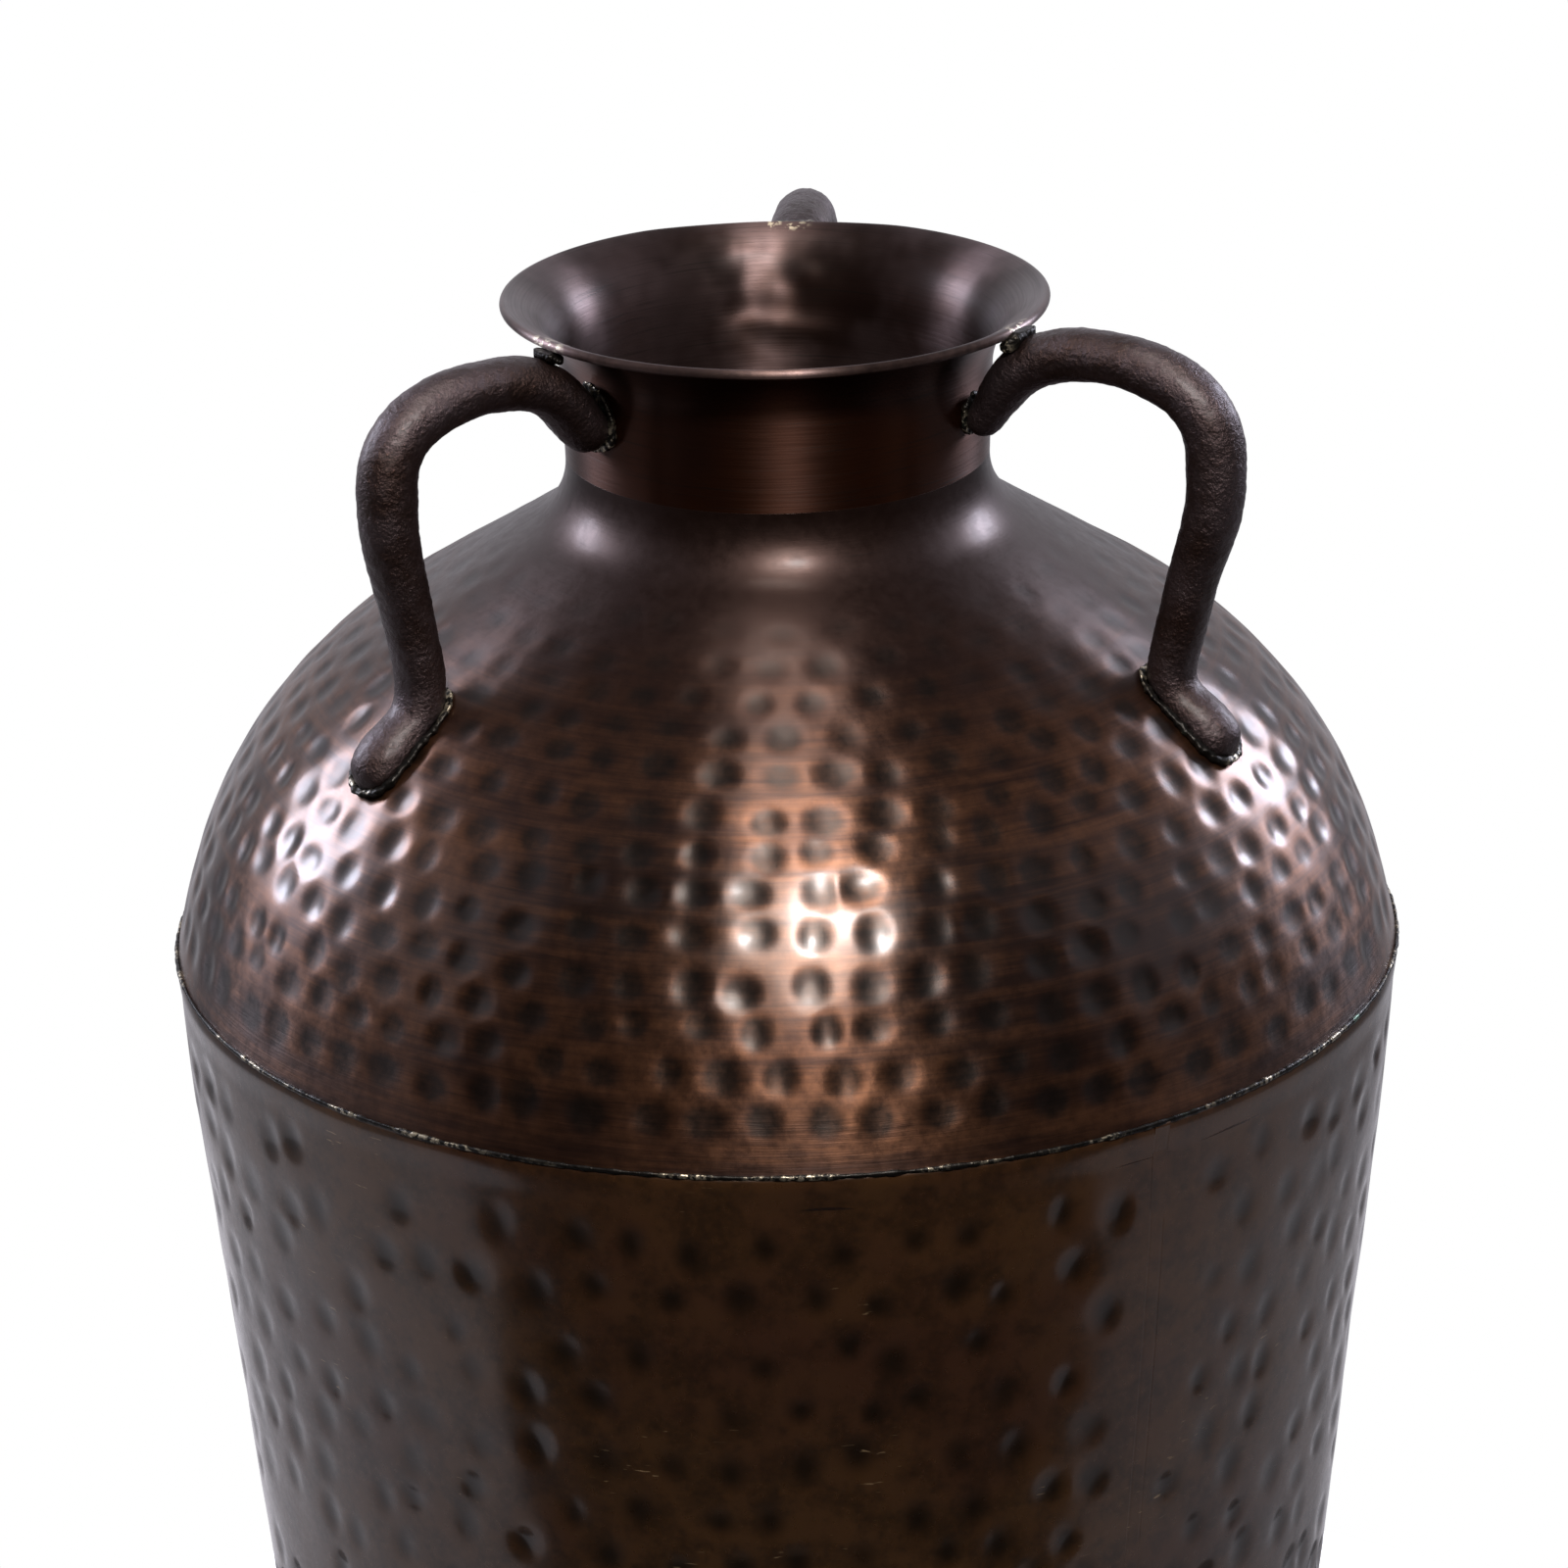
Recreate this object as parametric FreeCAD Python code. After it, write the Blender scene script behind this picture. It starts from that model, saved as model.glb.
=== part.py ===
import FreeCAD, Part
import math
import os

# An urn vase of hammered sheet metal. The body is rolled and brazed up its side, a pan
# closes its foot, a spun dome is tucked into its rim, and a spun neck with a wired lip
# stands on the dome. Three cast handles are brazed to the neck and to the dome.
# Lengths are millimetres and angles degrees. +Z is up, and the origin lies on the floor
# at the centre of the base.

# Angles used by the geometry itself
quarter_turn = 90
half_turn = 180
full_turn = 360

# Sheet
sheet = 0.9
lap_clearance = 0.1

# Body
seam_height = 416.0
base_radius = 143.0
body_bow_radius = 990.0
body_bow_angle = 2.93
base_edge_height = 2.6

# Base pan
base_corner_radius = 5.0
base_flange_length = 9.0

# Dome, from the girth seam up to the neck
girth_radius = 180.0
dome_lap_length = 9.0
girth_bend_radius = 6.0
girth_slope = 82.8
cone_slope = 31.8
cone_length = 53.0

# Neck and lip
neck_radius = 61.0
neck_fillet_radius = 22.4
neck_angle = 2.0
neck_length = 25.8
flare_radius = 21.5
lip_tilt = 18.0
lip_wire_diameter = 0.8
lip_curl_turn = 285.0

# Brazed joints of the vessel
side_seam_azimuth = 304.0
side_seam_width = 5.0
girth_bead_diameter = 2.0
girth_bead_bulge_share = 0.2
base_bead_start_angle = 35.0
base_bead_bulge = 0.5
neck_strip_width = 5.0
neck_strip_thickness = 0.6

# Handles
waist_drop = 80.9
foot_lift = 0.3
foot_start_slope = 37.6
foot_end_slope = 43.7
handle_bead_width = 1.8
handle_bead_height = 2.2

# Of each handle: its azimuth, its thickness, how far the outermost place, the waist and the
# end at the neck of its centre line stand out from the neck, how far the top of that line
# lies below the centre of the lip wire, how far its end at the neck lies below that top,
# and the share of its thickness left there
left_handle = {
    "azimuth": 216.0, "grip": 17.0, "reach": 71.3, "waist": 64.0, "tip_out": 6.06,
    "top_drop": 7.8, "tip_drop": 17.6, "tip_share": 1.0,
}
right_handle = {
    "azimuth": 330.0, "grip": 16.8, "reach": 77.9, "waist": 67.2, "tip_out": 6.62,
    "top_drop": 4.4, "tip_drop": 22.5, "tip_share": 0.74,
}
back_handle = {
    "azimuth": 85.2, "grip": 18.4, "reach": 74.0, "waist": 65.5, "tip_out": 6.29,
    "top_drop": 6.8, "tip_drop": 18.0, "tip_share": 1.0,
}

# Centre line of a handle from its end at the neck to its top: share of the way out from
# that end to the reach, and share of the tip's drop below the top
end_shares = [(0.0, 1.0), (0.0765, 0.62), (0.2022, 0.21), (0.377, 0.02)]

# From the top to the outermost place: share of the way out from the end at the neck to
# the reach, and share of the way up from the waist to the top
arch_shares = [(0.5956, 1.0), (0.8361, 0.935), (0.9705, 0.81)]

# The leg from the outermost place down to the waist: share of the way out from the
# waist to the reach, and the same share of the way up
leg_shares = [(1.0, 0.645), (0.95, 0.505), (0.65, 0.34), (0.28, 0.165), (0.0, 0.0)]

# The foot along the dome: share of the way from its start slope to its end slope
foot_shares = [0.0, 0.5, 1.0]

# Thickness and sideways width at each place of the four lists, as shares of the grip
section_shares = [
    (0.84, 1.06), (0.88, 1.14), (0.90, 1.12), (0.90, 1.0), (0.90, 0.96), (0.96, 0.99),
    (1.01, 1.01), (1.02, 1.02), (0.98, 1.0), (0.93, 0.95), (0.88, 0.90), (0.85, 0.90),
    (0.89, 0.95), (0.92, 0.99), (0.90, 0.98),
]

# The turns at which the domed ends of a handle have their sections
dome_turns = [35.0, 60.0, 80.0]


def step(point, heading, distance):
    """The point that lies a distance from another, in the XZ plane."""
    angle = math.radians(heading)
    across = distance * math.cos(angle)
    up = distance * math.sin(angle)
    return FreeCAD.Vector(point.x + across, 0, point.z + up)


def trace(start, heading, moves, side=0):
    """Lines and arcs drawn from start, all shifted to the left of the way they go.

    A move is a size and a turn. No turn is a straight run of that length. A turn is an
    arc of that radius, to the left where the turn is positive.
    """
    here = step(start, heading + quarter_turn, side)
    edges = []
    for size, turn in moves:
        if turn == 0:
            there = step(here, heading, size)
            edges.append(Part.LineSegment(here, there).toShape())
        else:
            inwards = math.copysign(quarter_turn, turn)
            radius = size - math.copysign(side, turn)
            centre = step(here, heading + inwards, radius)
            middle = step(centre, heading - inwards + turn / 2, radius)
            there = step(centre, heading - inwards + turn, radius)
            edges.append(Part.Arc(here, middle, there).toShape())
        heading = heading + turn
        here = there
    return edges, here, heading


def travel(heading, moves):
    """How far a chain of moves goes, as a vector."""
    return trace(FreeCAD.Vector(), heading, moves)[1]


def spin(edges):
    """The solid that a closed outline sweeps round the vase's axis."""
    outline = Part.Wire(Part.sortEdges(edges)[0])
    return Part.Face(outline).revolve(FreeCAD.Vector(), FreeCAD.Vector(0, 0, 1), full_turn)


def line(start, end):
    return Part.LineSegment(start, end).toShape()


def spun_sheet(start, heading, moves):
    """A ring of sheet whose outside follows the moves, with its wall to the left."""
    outside, outside_end, end_heading = trace(start, heading, moves)
    inside, inside_end, end_heading = trace(start, heading, moves, sheet)
    inside_start = step(start, heading + quarter_turn, sheet)
    ends = [line(start, inside_start), line(outside_end, inside_end)]
    return spin(outside + inside + ends)


def ring(centre, thickness_radius):
    """A torus round the vase's axis, about a centre in the XZ plane."""
    return Part.makeTorus(centre.x, thickness_radius, FreeCAD.Vector(0, 0, centre.z))


# Outline of the body, drawn upwards with the outside on the right: a straight wall that is
# tangent to a long bow under the rim
body_foot = FreeCAD.Vector(base_radius, 0, base_edge_height)
body_rim = FreeCAD.Vector(girth_radius + lap_clearance + sheet, 0, seam_height)
bow_moves = [(body_bow_radius, body_bow_angle)]
bow_run = travel(0, bow_moves)
to_rim = body_rim - body_foot
wall_and_bow = math.sqrt(to_rim.Length ** 2 - bow_run.z ** 2)
bow_lean = math.degrees(math.atan2(bow_run.z, wall_and_bow))
wall_heading = math.degrees(math.atan2(to_rim.z, to_rim.x)) - bow_lean
body_moves = [(wall_and_bow - bow_run.x, 0)] + bow_moves
rim_heading = wall_heading + body_bow_angle

# Outline of the dome and the neck, drawn in the same way
girth_heading = half_turn - girth_slope
cone_heading = half_turn - cone_slope
neck_heading = quarter_turn - neck_angle
girth_turn = girth_heading - rim_heading
crown_turn = cone_heading - girth_heading
fillet_turn = cone_heading - neck_heading
flare_turn = neck_heading - lip_tilt
curl_radius = lip_wire_diameter / 2 + lap_clearance

fillet_moves = [(neck_fillet_radius, -fillet_turn)]
cone_across = cone_length * math.cos(math.radians(cone_slope))
fillet_across = -travel(cone_heading, fillet_moves).x
crown_across = girth_radius - neck_radius - cone_across - fillet_across
crown_share = math.sin(math.radians(girth_slope)) - math.sin(math.radians(cone_slope))
crown_radius = crown_across / crown_share
crown_moves = [(crown_radius, crown_turn)]

girth_point = FreeCAD.Vector(girth_radius, 0, seam_height)
lap_radius = body_bow_radius - sheet - lap_clearance
lap_turn = math.degrees(dome_lap_length / lap_radius)
lap_heading = rim_heading - lap_turn
lap_moves = [(lap_radius, lap_turn), (girth_bend_radius, girth_turn)]
lap_start = girth_point - travel(lap_heading, lap_moves)
dome_moves = crown_moves + [(cone_length, 0)] + fillet_moves
neck_joint = girth_point + travel(girth_heading, dome_moves)
collar_moves = [(neck_length, 0), (flare_radius, -flare_turn)]
lip_point = neck_joint + travel(neck_heading, collar_moves)
curl_moves = [(curl_radius, -lip_curl_turn)]
wire_centre = step(lip_point, lip_tilt - quarter_turn, curl_radius)


def make_shoulder_dome():
    """The spun shoulder, with its lap bowed as the inside of the body's rim is."""
    return spun_sheet(lap_start, lap_heading, lap_moves + dome_moves)


def make_neck_collar():
    return spun_sheet(neck_joint, neck_heading, collar_moves + curl_moves)


def make_lip_wire():
    return ring(wire_centre, lip_wire_diameter / 2)


def make_neck_strip():
    """A thin band of braze behind the butt joint of the dome and the neck."""
    below = [(neck_fillet_radius, -math.degrees(neck_strip_width / 2 / neck_fillet_radius))]
    above = [(neck_strip_width / 2, 0)]
    heading = neck_heading - below[0][1]
    start = neck_joint - travel(heading, below)
    depth = sheet + neck_strip_thickness
    near, near_end, end_heading = trace(start, heading, below + above, sheet)
    far, far_end, end_heading = trace(start, heading, below + above, depth)
    near_start = step(start, heading + quarter_turn, sheet)
    far_start = step(start, heading + quarter_turn, depth)
    return spin(near + far + [line(near_start, far_start), line(near_end, far_end)])


def make_body_wall():
    return spun_sheet(body_foot, wall_heading, body_moves)


def make_side_seam_cutter():
    """A block as wide as the side seam that takes in the wall on one side only."""
    reach = 2 * girth_radius
    cutter = Part.makeBox(reach, side_seam_width, seam_height + reach)
    cutter.translate(FreeCAD.Vector(0, -side_seam_width / 2, 0))
    cutter.rotate(FreeCAD.Vector(), FreeCAD.Vector(0, 0, 1), side_seam_azimuth)
    return cutter


def pan_corner_start():
    """The edge of the pan's flat, from where its corner turns up to the flange."""
    corner = travel(0, [(base_corner_radius, wall_heading)])
    flange_foot = step(body_foot, wall_heading + quarter_turn, sheet + lap_clearance)
    rise = corner.z - flange_foot.z
    flange_radius = flange_foot.x + rise / math.tan(math.radians(wall_heading))
    return FreeCAD.Vector(flange_radius - corner.x, 0, 0)


def make_base_pan():
    """A flat pan whose flange stands inside the foot of the body."""
    flat = [(pan_corner_start().x, 0)]
    corner = [(base_corner_radius, wall_heading)]
    return spun_sheet(FreeCAD.Vector(), 0, flat + corner + [(base_flange_length, 0)])


def make_girth_bead():
    """The bead of braze in the step between the dome and the rim of the body."""
    bead_turn = math.degrees(girth_bead_diameter / 2 / crown_radius)
    along_dome, top, end_heading = trace(girth_point, girth_heading, [(crown_radius, bead_turn)])
    bulge = girth_bead_bulge_share * girth_bead_diameter
    middle = body_rim + FreeCAD.Vector(bulge, 0, bulge)
    front = Part.Arc(body_rim, middle, top).toShape()
    rim_inside = step(body_rim, rim_heading + quarter_turn, sheet)
    back = [line(girth_point, rim_inside), line(rim_inside, body_rim)]
    return spin(along_dome + [front] + back)


def make_base_bead():
    """The bead of braze between the pan and the edge of the body, clear of the floor."""
    corner_centre = pan_corner_start() + FreeCAD.Vector(0, 0, base_corner_radius)
    edge_turn = math.degrees(math.acos(1 - base_edge_height / base_corner_radius))
    middle_turn = (base_bead_start_angle + edge_turn) / 2
    low = step(corner_centre, base_bead_start_angle - quarter_turn, base_corner_radius)
    halfway = step(corner_centre, middle_turn - quarter_turn, base_corner_radius)
    high = step(corner_centre, edge_turn - quarter_turn, base_corner_radius)
    back = Part.Arc(low, halfway, high).toShape()
    bulge = FreeCAD.Vector(base_bead_bulge, 0, -base_bead_bulge)
    front = Part.Arc(body_foot, (body_foot + low) / 2 + bulge, low).toShape()
    return spin([back, front, line(high, body_foot)])


def vessel_fill(side):
    """The dome and neck as one filled solid, with its outside moved out by side."""
    moves = dome_moves + collar_moves
    outside, top, end_heading = trace(girth_point, girth_heading, moves, -side)
    bottom = step(girth_point, girth_heading - quarter_turn, side)
    top_centre = FreeCAD.Vector(0, 0, top.z)
    bottom_centre = FreeCAD.Vector(0, 0, bottom.z)
    closing = [line(top, top_centre), line(top_centre, bottom_centre)]
    closing.append(line(bottom_centre, bottom))
    filled = spin(outside + closing)
    return filled.fuse(ring(wire_centre, curl_radius + sheet + side))


def crown_point(slope, lift):
    """A point over the crown of the dome where the dome has this slope."""
    centre = step(girth_point, girth_heading + quarter_turn, crown_radius)
    return step(centre, quarter_turn - slope, crown_radius + lift)


def handle_places(shape):
    """Points of a handle's centre line in the XZ plane, from the neck to the foot."""
    tip = neck_radius + shape["tip_out"]
    across = shape["reach"] - shape["tip_out"]
    waist = neck_radius + shape["waist"]
    bow = shape["reach"] - shape["waist"]
    top = wire_centre.z - shape["top_drop"]
    waist_height = wire_centre.z - waist_drop
    rise = top - waist_height
    places = []
    for out, down in end_shares:
        height = top - down * shape["tip_drop"]
        places.append(FreeCAD.Vector(tip + out * across, 0, height))
    for out, up in arch_shares:
        places.append(FreeCAD.Vector(tip + out * across, 0, waist_height + up * rise))
    for out, up in leg_shares:
        places.append(FreeCAD.Vector(waist + out * bow, 0, waist_height + up * rise))
    for share in foot_shares:
        slope = foot_start_slope + share * (foot_end_slope - foot_start_slope)
        places.append(crown_point(slope, foot_lift))
    return places


def section(place, along, thickness, width):
    """An oval across a handle, with its long way sideways."""
    sideways = FreeCAD.Vector(0, 1, 0)
    oval = Part.Ellipse(FreeCAD.Vector(), max(width, thickness) / 2, thickness / 2).toShape()
    turned = FreeCAD.Rotation(sideways, FreeCAD.Vector(), along, "ZXY")
    oval.Placement = FreeCAD.Placement(place, turned)
    return Part.Wire(oval)


def domed_end(place, along, thickness, width):
    """Sections that close an end of a handle, from the inside out."""
    sections = []
    for turn in dome_turns:
        out = along * (thickness / 2 * math.sin(math.radians(turn)))
        left = math.cos(math.radians(turn))
        sections.append(section(place + out, along, thickness * left, width * left))
    return sections


def make_rod(shape, extra):
    """A handle's bar of changing oval section, with domed ends, made thicker by extra."""
    places = handle_places(shape)
    spine = Part.BSplineCurve()
    spine.interpolate(places)
    ovals = []
    for place, (thickness_share, width_share) in zip(places, section_shares):
        along = spine.tangent(spine.parameter(place))[0]
        thickness = thickness_share * shape["grip"] + 2 * extra
        width = width_share * shape["grip"] + 2 * extra
        ovals.append([place, along, thickness, width])
    for oval, share in zip(ovals, (shape["tip_share"], (1 + shape["tip_share"]) / 2)):
        oval[2] = oval[2] * share
        oval[3] = oval[3] * share
    place, along, thickness, width = ovals[0]
    sections = domed_end(place, -along, thickness, width)[::-1]
    for oval in ovals:
        sections.append(section(*oval))
    return Part.makeLoft(sections + domed_end(*ovals[-1]), True, False)


def make_handle(shape, core, skin):
    """A handle fitted to the vessel, and the beads of braze round its two ends."""
    bar = make_rod(shape, 0)
    handle = largest(bar.cut(core))
    beads = make_rod(shape, handle_bead_width).common(skin).cut(bar)
    neck_bead = []
    foot_bead = []
    for bead in beads.Solids:
        if bead.CenterOfMass.z > wire_centre.z - waist_drop:
            neck_bead.append(bead)
        else:
            foot_bead.append(bead)
    pieces = [handle, Part.makeCompound(neck_bead), Part.makeCompound(foot_bead)]
    for piece in pieces:
        piece.rotate(FreeCAD.Vector(), FreeCAD.Vector(0, 0, 1), shape["azimuth"])
    return pieces


def largest(shape):
    """The biggest solid of a shape."""
    return max(shape.Solids, key=lambda solid: solid.Volume)


def make_parts():
    parts = {}
    parts["shoulder_dome"] = make_shoulder_dome()
    parts["neck_collar"] = make_neck_collar()
    parts["lip_wire"] = make_lip_wire()
    parts["neck_joint_braze"] = make_neck_strip()

    wall = make_body_wall()
    cutter = make_side_seam_cutter()
    parts["body_shell"] = wall.cut(cutter)
    parts["side_seam_braze"] = wall.common(cutter)
    parts["girth_seam_braze"] = make_girth_bead()
    parts["base_pan"] = make_base_pan()
    parts["base_joint_braze"] = make_base_bead()

    core = vessel_fill(0)
    skin = vessel_fill(handle_bead_height).cut(core)
    handles = {"left": left_handle, "right": right_handle, "back": back_handle}
    for side, shape in handles.items():
        handle, neck_bead, foot_bead = make_handle(shape, core, skin)
        parts[side + "_handle"] = handle
        parts[side + "_handle_neck_braze"] = neck_bead
        parts[side + "_handle_foot_braze"] = foot_bead
    return parts


os.makedirs("parts", exist_ok=True)
for node, part in make_parts().items():
    part.exportStep("parts/" + node + ".step")
    box = part.BoundBox
    print(node, len(part.Solids), "solids", round(part.Volume), "mm3, up to", round(box.ZMax, 1))
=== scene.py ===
import math
import random
from functools import cache
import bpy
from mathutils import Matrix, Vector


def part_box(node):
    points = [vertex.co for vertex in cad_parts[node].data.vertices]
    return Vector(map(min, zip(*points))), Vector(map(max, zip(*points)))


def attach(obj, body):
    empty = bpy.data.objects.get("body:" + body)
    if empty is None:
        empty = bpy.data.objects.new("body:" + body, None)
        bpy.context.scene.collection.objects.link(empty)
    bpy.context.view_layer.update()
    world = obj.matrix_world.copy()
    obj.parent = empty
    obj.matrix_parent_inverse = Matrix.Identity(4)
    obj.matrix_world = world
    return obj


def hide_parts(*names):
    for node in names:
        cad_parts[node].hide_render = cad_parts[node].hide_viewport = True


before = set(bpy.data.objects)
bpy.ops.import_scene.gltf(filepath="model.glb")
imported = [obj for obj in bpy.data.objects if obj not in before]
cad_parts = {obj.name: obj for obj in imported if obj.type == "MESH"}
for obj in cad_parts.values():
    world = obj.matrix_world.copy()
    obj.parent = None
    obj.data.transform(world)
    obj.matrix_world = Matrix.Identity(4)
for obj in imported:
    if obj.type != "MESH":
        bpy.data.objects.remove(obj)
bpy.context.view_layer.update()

from types import SimpleNamespace

import bmesh
import bpy
import numpy as np
from mathutils import Euler, Matrix, Vector, noise

bl_info = {
    "name": "Hammered urn vase",
    "version": (1, 0, 0),
    "blender": (4, 5, 0),
    "location": "View3D > Sidebar > Urn vase",
    "description": "Dresses the solids of a hammered urn vase with its beaten, spun and cast surfaces",
    "category": "Object",
}

# The shapes are worked out in millimetres and radians and written to meshes in metres.
MM = 0.001
TURN = 2 * math.pi
QUARTER = math.pi / 2

SIDES = ("left", "right", "back")


# Sizes and colours that a user would change


def to_linear(text):
    """A linear colour from an sRGB hex value."""
    parts = [int(text[place:place + 2], 16) / 255 for place in (0, 2, 4)]
    return tuple(c / 12.92 if c <= 0.04045 else ((c + 0.055) / 1.055) ** 2.4 for c in parts) + (1.0,)


def length_in_mm(name, description, size):
    return bpy.props.FloatProperty(
        name=name, description=description, default=size * MM, unit="LENGTH")


def angle_in_degrees(name, description, size):
    return bpy.props.FloatProperty(
        name=name, description=description, default=math.radians(size), subtype="ANGLE")


def colour_from_hex(name, description, text):
    return bpy.props.FloatVectorProperty(
        name=name, description=description, default=to_linear(text), size=4, subtype="COLOR",
        min=0.0, max=1.0)


class VesselSizes(bpy.types.PropertyGroup):
    sheet: length_in_mm("Sheet", "Thickness of the copper sheet", 0.9)
    lap: length_in_mm("Lap clearance", "Gap between lapped sheets", 0.1)
    seam_height: length_in_mm(
        "Seam height", "Height of the girth seam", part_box("body_shell")[1].z / MM)
    girth: length_in_mm("Girth radius", "Outer radius of the shoulder at the seam", 180.0)
    girth_slope: angle_in_degrees("Girth slope", "Steepness of the shoulder at the seam", 82.8)
    cone_slope: angle_in_degrees("Cone slope", "Steepness of the shoulder under the neck", 31.8)
    crown: length_in_mm("Crown radius", "Radius of the shoulder's bulge", 136.3)
    neck: length_in_mm("Neck radius", "Outer radius at the foot of the neck", 61.0)
    fillet: length_in_mm("Fillet radius", "Radius of the sweep from shoulder to neck", 22.4)
    neck_taper: angle_in_degrees("Neck taper", "Lean of the neck wall", 2.0)
    neck_length: length_in_mm("Neck length", "Straight length of the neck", 25.8)
    flare: length_in_mm("Flare radius", "Radius of the flare under the lip", 21.5)
    lip_tilt: angle_in_degrees("Lip tilt", "Rise of the flare at the lip", 18.0)
    lip_wire: length_in_mm("Lip wire", "Thickness of the wire in the lip", 0.8)
    lip_curl: angle_in_degrees("Lip curl", "How far the lip is rolled round its wire", 285.0)
    lip_flat: length_in_mm("Lip flat", "How far the far side of the lip is pressed in", 2.2)
    rim_taper: angle_in_degrees("Rim taper", "Lean of the body wall at its rim", 2.5)
    bow: length_in_mm("Bow radius", "Radius of the body wall's bow", 990.0)
    base: length_in_mm("Base radius", "Outer radius of the body's foot", 143.0)
    base_edge: length_in_mm("Base edge", "Height of the body's lower edge", 2.6)
    side_seam: angle_in_degrees("Side seam azimuth", "Where the body's upright seam lies", 304.0)
    side_seam_width: length_in_mm("Side seam width", "Width of the upright seam", 5.0)


class HammerSizes(bpy.types.PropertyGroup):
    spacing: length_in_mm("Mesh spacing", "Distance between points of the hammered meshes", 1.35)
    shoulder_pitch: length_in_mm("Shoulder pitch", "Distance between marks along a ring", 16.0)
    ring_pitch: length_in_mm("Ring pitch", "Distance between the shoulder's rings", 12.2)
    first_ring: length_in_mm("First ring", "Distance from the girth seam to the first ring", 14.5)
    shoulder_mark: length_in_mm("Shoulder mark", "Radius of a mark on the shoulder", 6.4)
    shoulder_depth: length_in_mm("Shoulder depth", "Depth of a mark on the shoulder", 0.74)
    body_pitch: length_in_mm("Body pitch", "Distance between marks on the body", 19.0)
    body_ring_pitch: length_in_mm("Body ring pitch", "Distance between the body's rows", 17.0)
    body_band: length_in_mm("Smooth band", "Plain band under the girth seam", 22.0)
    body_mark: length_in_mm("Body mark", "Radius of a mark on the body", 7.2)
    body_depth: length_in_mm("Body depth", "Depth of a mark on the body", 0.8)


class FinishColours(bpy.types.PropertyGroup):
    patina: colour_from_hex("Patina", "Dark brown bronze patina", "2c1d19")
    hollow: colour_from_hex("Hollows", "Grey-green dark of the marks", "1b1917")
    copper: colour_from_hex("Copper", "Copper where the patina is rubbed", "6a4630")
    olive: colour_from_hex("Olive patina", "Olive brown of the lower body", "412b18")
    umber: colour_from_hex("Umber patina", "Red brown of the lower body", "3a2418")
    smudge: colour_from_hex("Smudges", "Brown dark of the lower body's marks", "150e08")
    neck: colour_from_hex("Neck patina", "Warm brown of the spun neck", "44200a")
    funnel: colour_from_hex("Funnel patina", "Pinkish brown inside the flare", "4e3f3e")
    # Paler lip tone: partly rubbed copper, partly a painted highlight that stands in for the lip's
    # thin bright line.
    lip: colour_from_hex("Rubbed lip", "Paler copper along the rubbed lip", "64504a")
    scratch: colour_from_hex("Scratches", "Pale brown of the body's scratches", "8a7458")
    casting: colour_from_hex("Casting", "Near black brown of the cast handles", "43383a")
    braze: colour_from_hex("Braze", "Bare braze metal", "a39a88")
    verdigris: colour_from_hex("Verdigris", "Green bloom at the seams", "5d7a68")


def in_mm(group):
    """The values of a group of sizes, with its lengths in mm."""
    kinds = group.bl_rna.properties
    values = {}
    for name in group.__annotations__:
        unit = MM if kinds[name].unit == "LENGTH" else 1
        values[name] = getattr(group, name) / unit
    return SimpleNamespace(**values)


def settings():
    """The sizes of the vessel and those of its hammer marks."""
    scene = bpy.context.scene
    return in_mm(scene.urn_vessel), in_mm(scene.urn_hammer)


# Outlines


def step(point, heading, distance):
    """The point (radius, height) that lies a distance from another."""
    return (point[0] + distance * math.cos(heading), point[1] + distance * math.sin(heading))


def trace(start, heading, moves, spacing):
    """Points (radius, height, normal radius, normal height) along lines and arcs.

    A move is a size and a turn, and no turn is a straight run. The outside is on the right.
    Each move has two points or more. The last point and heading are given too.
    """
    fewest = 2
    rows = []
    here = start
    for size, turn in moves:
        length = size * abs(turn) if turn else size
        count = max(fewest, math.ceil(length / spacing))
        centre = step(here, heading + math.copysign(QUARTER, turn), size)
        for share in np.arange(count) / count:
            if turn:
                angle = heading + share * turn
                spot = step(centre, angle - math.copysign(QUARTER, turn), size)
            else:
                angle = heading
                spot = step(here, heading, share * length)
            rows.append((*spot, math.sin(angle), -math.cos(angle)))
        if turn:
            heading = heading + turn
            here = step(centre, heading - math.copysign(QUARTER, turn), size)
        else:
            here = step(here, heading, size)
    rows.append((*here, math.sin(heading), -math.cos(heading)))
    return np.array(rows), here, heading


def arc_lengths(rows):
    """Distance along an outline to each of its points."""
    steps = np.hypot(np.diff(rows[:, 0]), np.diff(rows[:, 1]))
    return np.concatenate([[0], np.cumsum(steps)])


def short_of_end(rows, distance):
    """How far each point of an outline is from its last one, as a share of a distance."""
    lengths = arc_lengths(rows)
    return np.clip((lengths[-1] - lengths) / distance, 0, 1)[:, None]


def eased(share):
    """A share from 0 to 1 that leaves and arrives gently."""
    return share * share * (3 - 2 * share)


def crisp(rows, share=0.03):
    """Rows with a further one close to each end, so that the edges there stay sharp."""
    first = rows[:1] + share * (rows[1:2] - rows[:1])
    last = rows[-1:] + share * (rows[-2:-1] - rows[-1:])
    return np.concatenate([rows[:1], first, rows[1:-1], last, rows[-1:]])


def dome_outline(spacing):
    """The shoulder's outside from the girth to the foot of the neck, as trace gives it."""
    size = settings()[0]
    girth_heading = math.pi - size.girth_slope
    cone_heading = math.pi - size.cone_slope
    neck_heading = QUARTER - size.neck_taper
    crown_turn = cone_heading - girth_heading
    start = (size.girth, size.seam_height)
    top = trace(start, girth_heading, [(size.crown, crown_turn)], spacing)[1]
    fillet_turn = neck_heading - cone_heading
    fillet_across = trace((0, 0), cone_heading, [(size.fillet, fillet_turn)], spacing)[1][0]
    run = (top[0] + fillet_across - size.neck) / math.cos(size.cone_slope)
    moves = [(size.crown, crown_turn), (run, 0), (size.fillet, fillet_turn)]
    return trace(start, girth_heading, moves, spacing)


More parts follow.
